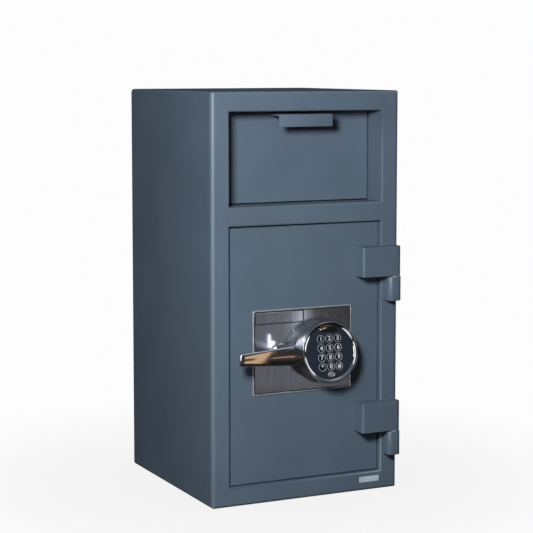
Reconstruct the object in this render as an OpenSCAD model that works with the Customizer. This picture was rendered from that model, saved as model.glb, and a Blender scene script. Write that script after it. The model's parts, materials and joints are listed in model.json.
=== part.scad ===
// Free-standing deposit safe: a drawer that tips open above a locked door
// Millimetres. The origin is the centre of the base, +Z is up and the front faces -Y.
// Depths called "reach" or "deep" are counted from the front face of the body.

/* [Body] */
// Outside width of the body
body_width = 350; // [330:1:420]
// Outside depth of the body
body_depth = 350; // [330:1:450]
// Outside height of the body
body_height = 686; // [660:1:740]
// Thickness of the bent body sheet
wall = 3.5; // [3:0.1:4.5]
// Radius of the two upright front edges
front_bend = 7.5; // [5:0.1:9]
// Radius of the edges along the top, bottom and front
edge_bend = 5.8; // [3:0.1:6]
// Distance between the floor bolt holes, both ways
anchor_pitch = 220; // [160:1:240]
// Radius of a floor bolt hole
anchor_hole_r = 6.5; // [4:0.1:8]

/* [Front frame] */
// Width of the upright at each side of the front
stile = 32.5; // [31:0.1:36]
// Height of the rail under the door
bottom_rail = 32; // [26:0.1:40]
// Height of the door opening
door_opening_height = 433.6; // [430:0.1:440]
// Height of the rail between the door and the drawer
middle_rail = 32.4; // [28:0.1:40]
// Height of the rail above the drawer
top_rail = 33; // [28:0.1:38]
// Thickness of the bars that line the door opening
jamb_thick = 5; // [3:0.1:6]
// How deep the bars of the door opening reach
jamb_deep = 23; // [20:0.1:24]

/* [Door] */
// How far the door face lies behind the front
door_inset = 10; // [8:0.1:11]
// Thickness of the door plate
door_thick = 8; // [6:0.1:9]
// Gap between door and frame on the hinge side
hinge_gap = 1.5; // [1:0.1:3]
// Gap between door and frame on the bolt side
latch_gap = 2.5; // [2:0.1:4]
// Gap above and below the door
head_gap = 1.5; // [1:0.1:3]
// Distance from the door opening to the frame behind the door
bolt_frame_inset = 12.5; // [11:0.1:20]
// Thickness of the frame behind the door
bolt_frame_thick = 4; // [3:0.1:5]
// Depth at which the frame behind the door ends
bolt_frame_deep = 54; // [52:0.1:60]
// Thickness of the cover over the boltwork
cover_thick = 1.5; // [1:0.1:2]
// Thickness of the hard plate behind the lock
hard_plate_thick = 3; // [2:0.1:4]

/* [Hinges] */
// Distance from the body's side to the hinge pins
hinge_margin = 13.5; // [13:0.1:14.5]
// Radius of the hinge block's round end
hinge_end_r = 10; // [8:0.1:10.5]
// Gap between the hinge blocks and the front face
hinge_air = 0.6; // [0.4:0.1:1.5]
// Distance from the hinge pins to the inner end of a block
block_reach = 65.5; // [50:0.5:80]
// Height of a hinge block
block_height = 51; // [40:0.5:60]
// Height of the fixed knuckle under a block
knuckle_height = 41.5; // [30:0.5:45]
// Distance from the hinge pins to the inner side of a knuckle
knuckle_reach = 14.2; // [12.5:0.1:16]
// Underside of the lower hinge block above the floor
lower_block_z = 104.5; // [80:0.5:120]
// Underside of the upper hinge block above the floor
upper_block_z = 371.5; // [340:0.5:375]
// Radius of a hinge pin
hinge_pin_r = 5; // [4:0.1:6]
// Thickness of a hinge washer
washer_thick = 1; // [0.8:0.1:2]

/* [Boltwork] */
// Radius of a locking bolt
bolt_r = 10; // [8:0.1:10.5]
// Length of a locking bolt
bolt_length = 38; // [34:0.5:42]
// How far the bolts travel
bolt_throw = 20; // [16:0.5:21]
// How far a drawn bolt stays inside the door opening
bolt_retreat = 8.5; // [7:0.1:12]
// Height of the lowest bolt above the floor
bolt_low_z = 104; // [90:1:106]
// Distance from bolt to bolt
bolt_pitch = 140; // [120:1:145]
// Depth of the bolts' centre line
bolt_deep = 35; // [34.5:0.1:36]
// Radius of a fixed bolt on the hinge side
fixed_bolt_r = 7; // [5:0.1:7.5]
// How far a fixed bolt reaches past the door opening
fixed_bolt_reach = 10.5; // [6:0.1:11]
// Depth of the fixed bolts' centre line
fixed_bolt_deep = 41; // [40:0.1:44]
// Thickness of the bolt bar
bar_thick = 4; // [3:0.1:5]
// Radius of the crank disc
crank_r = 20; // [19:0.1:21]
// Radius of the crank pin
crank_pin_r = 4; // [3:0.1:4.5]

/* [Lever] */
// Distance from the centre line to the lever's axis, to the left
handle_x = 45; // [42:0.5:50]
// Height of the lever's axis above the floor
handle_z = 252; // [245:0.5:258]
// Radius of the lever's round end
lever_hub_r = 16.3; // [13:0.1:18]
// Length from the lever's axis to its tip
lever_length = 96; // [80:1:110]
// Height of the lever's tip
lever_tip_height = 20.5; // [14:0.1:24]
// Thickness of the lever
lever_thick = 9; // [7:0.1:12]
// How far the lever's middle stands before the front face
lever_reach = 35; // [33:0.5:45]
// Chamfer around the lever's face
lever_chamfer = 2.2; // [1:0.1:3]
// Radius of the spindle
spindle_r = 6; // [5:0.1:7]
// Radius of the rose on the lock plate
rose_r = 15; // [13:0.1:18]

/* [Lock plate] */
// Left edge of the lock plate from the centre line
plate_left = 96.5; // [92:0.5:105]
// Right edge of the lock plate from the centre line
plate_right = 89; // [86:0.5:94]
// Underside of the lock plate above the floor
plate_bottom = 181; // [170:0.5:190]
// Height of the lock plate
plate_height = 143; // [134:0.5:145]
// Thickness of the lock plate
plate_thick = 2; // [1.5:0.1:3]
// Width of the raised rim round the lock plate
rim_width = 3; // [2:0.1:5]
// Height of the rim above the field inside it
rim_height = 0.6; // [0.3:0.1:0.8]

/* [Keypad] */
// Distance from the centre line to the keypad's middle
keypad_x = 31; // [30:0.5:32]
// Height of the keypad's middle above the floor
keypad_z = 250.5; // [248:0.5:253]
// Radius of the keypad's chrome ring
ring_r = 51.5; // [51:0.1:54]
// Width of the chrome ring
ring_width = 5.5; // [4:0.1:6]
// How far the keypad's middle stands before the front face
keypad_reach = 25; // [24:0.1:28]
// Tilt of the keypad's face, up from upright
keypad_tilt = 9; // [6:0.5:10]
// Distance between key columns
key_pitch_x = 15.8; // [15:0.1:16.5]
// Distance between key rows
key_pitch_z = 15.6; // [15:0.1:16]
// Radius of a key
key_r = 6; // [5:0.1:6.3]
// How far a key stands above the face
key_proud = 0.9; // [0.8:0.1:1.4]

/* [Drawer] */
// How far the drawer's panel lies behind the front
drawer_inset = 48; // [46:0.5:54]
// Thickness of the drawer's panel
panel_thick = 3; // [2.5:0.1:4]
// Gap around the drawer's panel
panel_gap = 1.5; // [1:0.1:2]
// Thickness of the sheet round the drawer
sleeve_thick = 2.5; // [2:0.1:3]
// Height of the drawer's pivot above the recess floor
pivot_rise = 14; // [13.5:0.1:15]
// Air between the drawer's sweep and the recess ceiling
hopper_air = 2; // [2:0.1:8]
// Angle of the tray's end at rest, from straight up
tray_angle = 120; // [112:1:124]
// Angle through which the drawer tips
hopper_travel = 55; // [40:1:56]
// Thickness of the tray and of the drawer's side plates
tray_thick = 2; // [1.5:0.1:2.5]
// Air between the drawer's side plates and the sheet round them
side_air = 3.5; // [2.8:0.1:4]
// Width of the drawer's pull
pull_width = 99; // [80:1:120]
// Height of the pull's lip
pull_height = 21; // [16:0.5:26]
// Distance from the pull's lip to the front face
pull_inset = 4; // [2:0.5:8]
// Distance from the recess ceiling to the pull
pull_drop = 5; // [4:0.1:8]
// Thickness of the pull's sheet
pull_thick = 3; // [2:0.1:4]

/* [Label] */
// Distance from the blank label to the body's side
label_margin = 35.2; // [20:0.1:45]
// Width of the blank label
label_width = 38.5; // [30:0.5:42]
// Underside of the blank label above the floor
label_bottom = 14.8; // [8:0.1:16]
// Height of the blank label
label_height = 9.8; // [7:0.1:11]

/* [Hidden] */
$fn = 64;

// clearances
running = 0.05;
slide_air = 0.3;
key_air = 0.2;
crank_air = 0.7;
face_air = 0.1;
over = 1;

// places on the front
front_y = -body_depth / 2;
half_w = body_width / 2;
opening_x = half_w - stile;
door_low = bottom_rail;
door_high = bottom_rail + door_opening_height;
drawer_low = door_high + middle_rail;
drawer_high = body_height - top_rail;

// door
door_left = -opening_x + latch_gap;
door_right = opening_x - hinge_gap;
door_bottom = door_low + head_gap;
door_top = door_high - head_gap;
door_back = door_inset + door_thick;
hard_back = door_back + hard_plate_thick;
bolt_frame_x = opening_x - bolt_frame_inset;
bolt_frame_z0 = door_bottom + bolt_frame_inset;
bolt_frame_z1 = door_top - bolt_frame_inset;

// hinges
hinge_x = half_w - hinge_margin;
block_inner_x = hinge_x - block_reach;
knuckle_inner_x = hinge_x - knuckle_reach;
hinge_deep = -hinge_end_r - hinge_air;
block_corner_r = 4;
pin_cover = 6;
washer_air = 0.2;
washer_inset = 0.2;
knuckle_lip = 0.5;
knuckle_gap = washer_thick + washer_air;

// boltwork
bolt_tip_x = -opening_x + bolt_retreat;
bolt_end_x = bolt_tip_x + bolt_length;
bolt_tip_chamfer = 2;
bolt_heights = [for (i = [0:2]) bolt_low_z + i * bolt_pitch];
bar_flange = 20;
bar_end_margin = 15;
crank_arm = bolt_throw / 2 / sin(45);
crank_thick = 4;
disc_gap = 1;
crank_deep = hard_back + disc_gap;
crank_gap = 2;
crank_pin_end = 2;
arm_deep = crank_deep + crank_thick + crank_gap;
arm_edge = 7;
arm_side = 13;
arm_lift = 1;
arm_right = -handle_x + bolt_throw / 2 + arm_side;
arm_low = handle_z + arm_lift;
arm_high = handle_z + crank_arm + crank_pin_r + crank_air + arm_edge;
screw_r = 4;
screw_head = 4;
screw_head_rim = 3;
screw_depth = 14;
cover_screw_r = 1.4;
cover_screw_grip = 8;
cover_screw_head_r = 3.2;
cover_screw_head = 1.6;
cover_screw_end = 20;

// lock
lock_gap = 10;
lock_left = arm_right + lock_gap;
lock_width = 66;
lock_height = 84;
lock_thick = 24;
lock_mid_z = (arm_low + arm_high) / 2;
lock_bolt_height = 18;
lock_bolt_thick = 7;
lock_bolt_travel = 8;
lock_bolt_length = 42;
lock_bolt_gap = 0.5;
lock_mid_deep = arm_deep + bar_thick / 2;
lock_screw_r = 3;
lock_screw_inset = 7;
lock_screw_head_r = 5;

// keypad, counted along its own axis from the ring's front
ring_height = 6;
face_front = 1.5;
face_thick = 2.5;
face_r = ring_r - ring_width;
flange_rim = 0.9;
flange_r = key_r + flange_rim;
flange_top = face_front + face_thick + slide_air;
flange_thick = 1.7;
key_bottom = flange_top + flange_thick;
switch_room = 1.6;
board_front = key_bottom + switch_room;
board_thick = 1.6;
board_back = board_front + board_thick;
ledge_thick = 2;
ledge_width = 4;
ring_lip = 1;
housing_r = ring_r - ring_lip;
housing_wall = 4;
plate_front = door_inset - plate_thick;
// the housing stands on the sunk field of the lock plate
housing_seat = plate_front + rim_height;
cable_v = 12;
cable_r = 2;
cable_hole_r = 5;
battery_size = [48.5, 26, 16.5];
battery_drop = 27;
key_travel = 0.8;
visor_width = 28;
visor_height = 11;
visor_rise = 37;
oval_width = 13;
oval_height = 8.6;
oval_drop = 35.4;
inlay_sunk = 0.6;

// lever and rose
neck_r = 10;
neck_gap = 2;
rose_thick = 5;
rose_air = 0.5;
rose_bore = neck_r + rose_air;
rose_bevel = 2;
rose_lip = 1.5;
neck_end = plate_front - neck_gap;
lever_front = -lever_reach - lever_thick / 2;
bush_wall = 3;
bush_r = spindle_r + bush_wall;
handle_screw_r = 2.5;
handle_screw_lead = 10;
handle_screw_deep = neck_end - handle_screw_lead;
spindle_flat = 0.6;

// drawer, about its pivot
hopper_pin_r = 4;
pin_head_rim = 1;
pin_head_r = hopper_pin_r + pin_head_rim;
pin_tail = 5;
hopper_bush_r = hopper_pin_r + 2;
hopper_bush_rim = 3;
clip_rim = 3;
sill_lap = 1.5;
sill_deep = drawer_inset + sill_lap;
pivot_air = 1.5;
pivot_setback = hopper_pin_r + pivot_air;
pivot_deep = drawer_inset + panel_thick + pivot_setback;
pivot_z = drawer_low + pivot_rise;
hopper_r = drawer_high - pivot_z - hopper_air;
panel_back = drawer_inset + panel_thick - pivot_deep;
foot_air = 0.3;
panel_foot = panel_gap + foot_air - pivot_rise;
panel_head = drawer_high - panel_gap - pivot_z;
baffle_gap = 4;
baffle_start = 2;
baffle_end = 88;
side_outer_x = opening_x - side_air;
side_inner_x = side_outer_x - tray_thick;
stop_pin_r = 3;
stop_margin = 12;
stop_arc_r = hopper_r - stop_margin;
stop_lead = 15;
stop_angle = tray_angle - stop_lead;
stop_air = 0.6;
sleeve_margin = 9.5;
sleeve_deep = pivot_deep + hopper_r + sleeve_margin;
lobe_margin = 8;
lobe_edge = 3.5;
sleeve_lobe_deep = pivot_deep + lobe_margin;
sleeve_lobe_z = pivot_z + stop_arc_r * cos(stop_angle) - stop_pin_r - stop_air - lobe_edge;
pull_top = drawer_high - pull_drop;
pull_corner_r = 3;
pin_end_x = opening_x + sleeve_thick + pin_tail;
// heel and end of the tray's upper surface
tray_heel = pivot_point(panel_back, panel_foot + tray_thick);
tray_tip_air = 0.5;
tray_end = about_pivot(hopper_r - tray_tip_air, tray_angle);
tray_slope = atan2(tray_heel[1] - tray_end[1], tray_end[0] - tray_heel[0]);

label_thick = 0.3;
label_left = half_w - label_margin - label_width;
body_colour = "#5d6b7b";
steel_colour = "#a9adb0";
chrome_colour = "#d6d9dc";

// outlines
function arc(cx, cy, r, a0, a1, n) =
    [for (i = [0:n]) let (a = a0 + (a1 - a0) * i / n) [cx + r * cos(a), cy + r * sin(a)]];
function corner(cx, cy, r, a) = r > 0 ? arc(cx, cy, r, a, a + 90, 6) : [[cx, cy]];
function round_box(x0, y0, x1, y1, r) = concat(
    corner(x0 + r[0], y0 + r[0], r[0], 180), corner(x1 - r[1], y0 + r[1], r[1], 270),
    corner(x1 - r[2], y1 - r[2], r[2], 0), corner(x0 + r[3], y1 - r[3], r[3], 90));
function about_pivot(r, a) = [pivot_deep + r * sin(a), pivot_z + r * cos(a)];
function pivot_point(y, z) = [pivot_deep + y, pivot_z + z];

// placing
module box(x, y, z)
    translate([x[0], front_y + y[0], z[0]]) cube([x[1] - x[0], y[1] - y[0], z[1] - z[0]]);
module rod_x(r, x, deep, z)
    translate([x[0], front_y + deep, z]) rotate([0, 90, 0]) cylinder(r = r, h = x[1] - x[0]);
module rod_y(r, x, y, z)
    translate([x, front_y + y[0], z]) rotate([-90, 0, 0]) cylinder(r = r, h = y[1] - y[0]);
module rod_z(r, x, deep, z)
    translate([x, front_y + deep, z[0]]) cylinder(r = r, h = z[1] - z[0]);
module slab_x(x, outline)
    translate([x[0], front_y, 0]) rotate([90, 0, 90]) linear_extrude(x[1] - x[0]) polygon(outline);
module slab_y(y, outline)
    translate([0, front_y + y[1], 0]) rotate([90, 0, 0]) linear_extrude(y[1] - y[0]) polygon(outline);
module slab_z(z, outline)
    translate([0, front_y, z[0]]) linear_extrude(z[1] - z[0]) polygon(outline);
module both_sides() {
    children();
    mirror([1, 0, 0]) children();
}
module on_keypad()
    translate([keypad_x, front_y - keypad_reach, keypad_z]) rotate([90 - keypad_tilt, 0, 0]) children();

// body

module body_shell() {
    color(body_colour)
    difference() {
        intersection() {
            slab_z([0, body_height],
                round_box(-half_w, 0, half_w, body_depth, [front_bend, front_bend, 0, 0]));
            slab_x([-half_w, half_w],
                round_box(0, 0, body_depth, body_height, [edge_bend, 0, 0, edge_bend]));
            slab_y([0, body_depth],
                round_box(-half_w, 0, half_w, body_height, [for (i = [0:3]) edge_bend]));
        }
        box([wall - half_w, half_w - wall], [wall, body_depth + over], [wall, body_height - wall]);
        box([-opening_x, opening_x], [-over, wall + over], [door_low, door_high]);
        box([-opening_x, opening_x], [-over, wall + over], [drawer_low, drawer_high]);
        for (x = [-1, 1], y = [-1, 1]) translate([x * anchor_pitch / 2, y * anchor_pitch / 2, -over])
            cylinder(r = anchor_hole_r, h = wall + 2 * over);
    }
}

module back_plate() {
    color(body_colour)
    box([wall - half_w, half_w - wall], [body_depth - wall, body_depth], [wall, body_height - wall]);
}

module door_jamb() {
    color(body_colour)
    difference() {
        box([-opening_x - jamb_thick, opening_x + jamb_thick], [wall, jamb_deep],
            [door_low - jamb_thick, door_high + jamb_thick]);
        box([-opening_x, opening_x], [wall - over, jamb_deep + over], [door_low, door_high]);
    }
}

module blank_label() {
    color("white")
    box([label_left, label_left + label_width], [-label_thick, 0],
        [label_bottom, label_bottom + label_height]);
}

// drawer surround, fixed to the body

// curved slot with round ends, in which a stop pin travels
module stop_slot() {
    slot_r = stop_pin_r + stop_air;
    a1 = stop_angle;
    a0 = stop_angle - hopper_travel;
    function track(r, from, to) = [for (i = [0:16]) about_pivot(r, from + (to - from) * i / 16)];
    function cap(a, from) = [for (t = [from + 22.5:22.5:from + 157.5])
        about_pivot(stop_arc_r, a) + slot_r * [sin(a + t), cos(a + t)]];
    slab_x([opening_x - over, opening_x + sleeve_thick + over],
        concat(track(stop_arc_r + slot_r, a0, a1), cap(a1, 0),
            track(stop_arc_r - slot_r, a1, a0), cap(a0, 180)));
}

module sleeve_cheek() {
    low = drawer_low - sleeve_thick;
    high = drawer_high + sleeve_thick;
    difference() {
        slab_x([opening_x, opening_x + sleeve_thick],
            [[wall, low], [sleeve_lobe_deep, low], [sleeve_lobe_deep, sleeve_lobe_z],
            [sleeve_deep, sleeve_lobe_z], [sleeve_deep, high], [wall, high]]);
        rod_x(hopper_bush_r, [opening_x - over, opening_x + sleeve_thick + over], pivot_deep, pivot_z);
        stop_slot();
    }
}

module drawer_surround() {
    color(body_colour) {
        both_sides() sleeve_cheek();
        box([-opening_x, opening_x], [wall, sill_deep], [drawer_low - sleeve_thick, drawer_low]);
        box([-opening_x, opening_x], [wall, pivot_deep + hopper_r * sin(baffle_start)],
            [drawer_high, drawer_high + sleeve_thick]);
    }
}

module anti_fish_baffle() {
    inner = hopper_r + baffle_gap;
    steps = 24;
    function ring_arc(r, a0, a1) = [for (i = [0:steps]) about_pivot(r, a0 + (a1 - a0) * i / steps)];
    color(body_colour)
    slab_x([-opening_x, opening_x], concat(ring_arc(inner + sleeve_thick, baffle_start, baffle_end),
        ring_arc(inner, baffle_end, baffle_start)));
}

module hopper_bushes() {
    flange = 1.5;
    end = opening_x + sleeve_thick + flange;
    color("#c9a15a")
    both_sides() difference() {
        union() {
            rod_x(hopper_bush_r, [opening_x, end], pivot_deep, pivot_z);
            rod_x(hopper_bush_r + hopper_bush_rim, [opening_x + sleeve_thick, end], pivot_deep, pivot_z);
        }
        rod_x(hopper_pin_r + running, [opening_x - over, end + over], pivot_deep, pivot_z);
    }
}

// hinges

module hinge_knuckle(block_z) {
    top = block_z - knuckle_gap;
    color(body_colour)
    difference() {
        slab_z([top - knuckle_height, top], round_box(knuckle_inner_x, hinge_deep - hinge_end_r,
            hinge_x + hinge_end_r + knuckle_lip, 0, [block_corner_r, block_corner_r, 0, 0]));
        rod_z(hinge_pin_r, hinge_x, hinge_deep, [top - knuckle_height + pin_cover, top + over]);
    }
}

module hinge_knuckle_upper() hinge_knuckle(upper_block_z);
module hinge_knuckle_lower() hinge_knuckle(lower_block_z);

module hinge_block(z) {
    front = hinge_deep - hinge_end_r;
    outline = concat([[block_inner_x, door_inset]],
        corner(block_inner_x + block_corner_r, front + block_corner_r, block_corner_r, 180),
        arc(hinge_x, hinge_deep, hinge_end_r, -90, 90, 16),
        [[door_right, hinge_deep + hinge_end_r], [door_right, door_inset]]);
    color(body_colour)
    difference() {
        slab_z([z, z + block_height], outline);
        rod_z(hinge_pin_r + running, hinge_x, hinge_deep,
            [z - over, z + block_height - pin_cover + slide_air]);
    }
}

module hinge_block_upper() hinge_block(upper_block_z);
module hinge_block_lower() hinge_block(lower_block_z);

module hinge_pins() {
    color(steel_colour)
    for (z = [lower_block_z, upper_block_z])
        rod_z(hinge_pin_r, hinge_x, hinge_deep,
            [z - knuckle_gap - knuckle_height + pin_cover, z + block_height - pin_cover]);
}

module hinge_washers() {
    color("#d8b45c")
    for (z = [lower_block_z, upper_block_z]) difference() {
        rod_z(hinge_end_r - washer_inset, hinge_x, hinge_deep, [z - knuckle_gap, z - washer_air]);
        rod_z(hinge_pin_r + running, hinge_x, hinge_deep, [z - knuckle_gap - over, z + over]);
    }
}

// door

module door_plate() {
    color(body_colour)
    difference() {
        box([door_left, door_right], [door_inset, door_back], [door_bottom, door_top]);
        rod_y(bush_r, -handle_x, [door_inset - over, door_back + over], handle_z);
        rod_y(cable_hole_r, keypad_x, [door_inset - over, door_back + over], keypad_z + cable_v);
    }
}

module bolt_frame() {
    inner = bolt_frame_x - bolt_frame_thick;
    y = [door_back, bolt_frame_deep];
    color(body_colour)
    difference() {
        box([-bolt_frame_x, bolt_frame_x], y, [bolt_frame_z0, bolt_frame_z1]);
        box([-inner, inner], [door_back - over, bolt_frame_deep + over],
            [bolt_frame_z0 + bolt_frame_thick, bolt_frame_z1 - bolt_frame_thick]);
        for (z = bolt_heights) {
            rod_x(bolt_r + running, [-bolt_frame_x - over, -inner + over], bolt_deep, z);
            rod_x(fixed_bolt_r, [inner - over, bolt_frame_x + over], fixed_bolt_deep, z);
        }
        cover_screw_places()
            rod_y(cover_screw_r, 0, [bolt_frame_deep - cover_screw_grip, bolt_frame_deep + over], 0);
    }
}

module cover_screw_places() {
    x = bolt_frame_x - bolt_frame_thick / 2;
    between = [for (i = [0:1]) bolt_heights[i] + bolt_pitch / 2];
    rows = concat([bolt_frame_z0 + cover_screw_end], between, [bolt_frame_z1 - cover_screw_end]);
    for (side = [-1, 1], z = rows) translate([side * x, 0, z]) children();
}

module door_cover() {
    edge = 0.5;
    color("#6c7a8a")
    difference() {
        box([edge - bolt_frame_x, bolt_frame_x - edge], [bolt_frame_deep, bolt_frame_deep + cover_thick],
            [bolt_frame_z0 + edge, bolt_frame_z1 - edge]);
        cover_screw_places()
            rod_y(cover_screw_r, 0, [bolt_frame_deep - over, bolt_frame_deep + cover_thick + over], 0);
    }
}

module cover_screws() {
    seat = bolt_frame_deep + cover_thick;
    color(steel_colour)
    cover_screw_places() {
        rod_y(cover_screw_r, 0, [bolt_frame_deep - cover_screw_grip, seat], 0);
        rod_y(cover_screw_head_r, 0, [seat, seat + cover_screw_head], 0);
    }
}

module fixed_bolts() {
    tip = opening_x + fixed_bolt_reach;
    tail = 4;
    color(steel_colour)
    for (z = bolt_heights)
        rod_x(fixed_bolt_r, [bolt_frame_x - bolt_frame_thick - tail, tip], fixed_bolt_deep, z);
}

module hard_plate() {
    margin = 6;
    color("#7d7f82")
    difference() {
        box([-handle_x - crank_r - margin, lock_left + lock_width + margin], [door_back, hard_back],
            [lock_mid_z - lock_height / 2 - margin, lock_mid_z + lock_height / 2 + margin]);
        rod_y(bush_r + slide_air, -handle_x, [door_back - over, hard_back + over], handle_z);
        rod_y(cable_hole_r, keypad_x, [door_back - over, hard_back + over], keypad_z + cable_v);
        lock_screw_places() rod_y(lock_screw_r, 0, [door_back - over, hard_back + over], 0);
    }
}

module spindle_bush() {
    color("#c9a15a")
    difference() {
        rod_y(bush_r, -handle_x, [door_inset, hard_back], handle_z);
        rod_y(spindle_r + running, -handle_x, [door_inset - over, hard_back + over], handle_z);
    }
}

module lock_plate() {
    z0 = plate_bottom;
    z1 = plate_bottom + plate_height;
    corner_r = 4;
    radii = [corner_r, corner_r, corner_r, corner_r];
    inner_r = corner_r - rim_width / 2;
    inner = [inner_r, inner_r, inner_r, inner_r];
    color("#b9babd")
    difference() {
        slab_y([plate_front, door_inset], round_box(-plate_left, z0, plate_right, z1, radii));
        slab_y([plate_front - over, plate_front + rim_height], round_box(rim_width - plate_left,
            z0 + rim_width, plate_right - rim_width, z1 - rim_width, inner));
        rod_y(spindle_r + slide_air, -handle_x, [plate_front - over, door_inset + over], handle_z);
        rod_y(cable_hole_r, keypad_x, [plate_front - over, door_inset + over], keypad_z + cable_v);
    }
}

// lock behind the door

module lock_screw_places() {
    dx = lock_width / 2 - lock_screw_inset;
    dz = lock_height / 2 - lock_screw_inset;
    for (i = [-1, 1], k = [-1, 1])
        translate([lock_left + lock_width / 2 + i * dx, 0, lock_mid_z + k * dz]) children();
}

module lock_case() {
    z0 = lock_mid_z - lock_height / 2;
    pocket_z = lock_bolt_height / 2 + slide_air;
    pocket_y = lock_bolt_thick / 2 + slide_air;
    color("#c3c5c8")
    difference() {
        box([lock_left, lock_left + lock_width], [hard_back, hard_back + lock_thick],
            [z0, z0 + lock_height]);
        box([lock_left - over, arm_right + lock_bolt_gap + lock_bolt_length + slide_air],
            [lock_mid_deep - pocket_y, lock_mid_deep + pocket_y],
            [lock_mid_z - pocket_z, lock_mid_z + pocket_z]);
        lock_screw_places() rod_y(lock_screw_r, 0, [hard_back - over, hard_back + lock_thick + over], 0);
    }
}

module lock_screws() {
    seat = hard_back + lock_thick;
    color(steel_colour)
    lock_screw_places() {
        rod_y(lock_screw_r, 0, [door_back, seat], 0);
        rod_y(lock_screw_head_r, 0, [seat, seat + lock_screw_r], 0);
    }
}

module lock_bolt() {
    tip = arm_right + lock_bolt_gap;
    color("#d2b36a")
    box([tip, tip + lock_bolt_length],
        [lock_mid_deep - lock_bolt_thick / 2, lock_mid_deep + lock_bolt_thick / 2],
        [lock_mid_z - lock_bolt_height / 2, lock_mid_z + lock_bolt_height / 2]);
}

// keypad

module pad_ring(outer, inner, front, back) {
    translate([0, 0, -back]) difference() {
        cylinder(r = outer, h = back - front);
        translate([0, 0, -over]) cylinder(r = inner, h = back - front + 2 * over);
    }
}

module keypad_housing() {
    deepest = keypad_reach + door_inset + housing_r;
    inner = housing_r - housing_wall;
    color(chrome_colour)
    difference() {
        on_keypad() {
            pad_ring(housing_r, inner, ring_height, deepest);
            pad_ring(inner + face_air, inner - ledge_width, board_back, board_back + ledge_thick);
        }
        box([keypad_x - 2 * housing_r, keypad_x + 2 * housing_r], [housing_seat, body_depth / 2],
            [keypad_z - 3 * housing_r, keypad_z + 3 * housing_r]);
    }
}

module keypad_ring() {
    round_r = 1.6;
    color(chrome_colour)
    on_keypad() translate([0, 0, -ring_height]) rotate_extrude()
        polygon(concat([[face_r, 0], [ring_r, 0]],
            arc(ring_r - round_r, ring_height - round_r, round_r, 0, 90, 5),
            arc(face_r + round_r, ring_height - round_r, round_r, 90, 180, 5)));
}

module keypad_face() {
    color("#15171a")
    on_keypad() difference() {
        translate([0, 0, -face_front - face_thick]) cylinder(r = face_r - face_air, h = face_thick);
        for (col = [0:2], row = [0:3]) key_place(col, row)
            translate([0, 0, -face_front - face_thick - over])
                cylinder(r = key_r + key_air, h = face_thick + 2 * over);
        translate([0, 0, -face_front - inlay_sunk]) oval_post(0, inlay_sunk + over);
    }
}

// columns count 0 to 2 from the left and rows 0 to 3 from the top
module key_place(col, row)
    translate([(col - 1) * key_pitch_x, (1.5 - row) * key_pitch_z, 0]) children();

module key_button(col, row) {
    cap_round = 0.5;
    color("#1d1f23")
    on_keypad() key_place(col, row) translate([0, 0, -key_bottom]) {
        cylinder(r = flange_r, h = flange_thick);
        cylinder(r = key_r, h = key_bottom - face_front + key_proud - cap_round);
        translate([0, 0, key_bottom - face_front + key_proud - cap_round])
            cylinder(r1 = key_r, r2 = key_r - cap_round, h = cap_round);
    }
}

module oval_post(shrink, h) {
    half = [oval_width / 2 - shrink, oval_height / 2 - shrink];
    steps = 32;
    translate([0, -oval_drop, 0]) linear_extrude(h)
        polygon([for (i = [1:steps]) let (a = i * 360 / steps) [half[0] * cos(a), half[1] * sin(a)]]);
}

module oval_inlay() {
    color(chrome_colour)
    on_keypad() translate([0, 0, -face_front - inlay_sunk]) oval_post(face_air, inlay_sunk + 0.3);
}

module status_visor() {
    lens = 1.8;
    corner_r = 4;
    color("#26282c")
    on_keypad() translate([0, visor_rise, -face_front]) intersection() {
        linear_extrude(lens) polygon(round_box(-visor_width / 2, -visor_height / 2,
            visor_width / 2, visor_height / 2, [for (i = [0:3]) corner_r]));
        translate([0, -visor_rise, -over]) cylinder(r = face_r - face_air, h = 2 * lens + over);
    }
}

module keypad_board() {
    color("#1f5a3a")
    on_keypad() translate([0, 0, -board_back])
        cylinder(r = housing_r - housing_wall - face_air, h = board_thick);
}

module battery() {
    color("#3a3c40")
    on_keypad() translate([-battery_size[0] / 2, -battery_drop, -board_back - slide_air - battery_size[2]])
        cube(battery_size);
}

module keypad_cable() {
    start = (cable_v + cable_r) * sin(keypad_tilt) + board_back * cos(keypad_tilt) + face_air - keypad_reach;
    color("#2a2a2c")
    rod_y(cable_r, keypad_x, [start, hard_back], keypad_z + cable_v);
}

// lever

module lever_outline(inset) {
    tip_half = lever_tip_height / 2 - inset;
    tip_r = 3;
    hull() {
        circle(r = lever_hub_r - inset, $fn = 40);
        for (side = [-1, 1]) translate([-lever_length + inset + tip_r, side * (tip_half - tip_r)])
            circle(r = tip_r, $fn = 16);
    }
}

module handle_lever() {
    y_front = lever_front;
    y_back = lever_front + lever_thick;
    color(chrome_colour)
    difference() {
        union() {
            translate([-handle_x, front_y + y_back, handle_z]) rotate([90, 0, 0]) hull() {
                linear_extrude(lever_thick - lever_chamfer) lever_outline(0);
                linear_extrude(lever_thick) lever_outline(lever_chamfer);
            }
            rod_y(neck_r, -handle_x, [y_back - lever_thick / 2, neck_end], handle_z);
        }
        rod_y(spindle_r, -handle_x, [y_back - lever_thick / 2, neck_end + over], handle_z);
        translate([-handle_x, front_y + handle_screw_deep, handle_z - neck_r - over])
            cylinder(r = handle_screw_r, h = neck_r + over);
    }
}

module handle_screw() {
    sunk = 0.5;
    color(steel_colour)
    translate([-handle_x, front_y + handle_screw_deep, handle_z - neck_r + sunk])
        cylinder(r = handle_screw_r, h = neck_r - spindle_r + spindle_flat - sunk);
}

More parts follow.
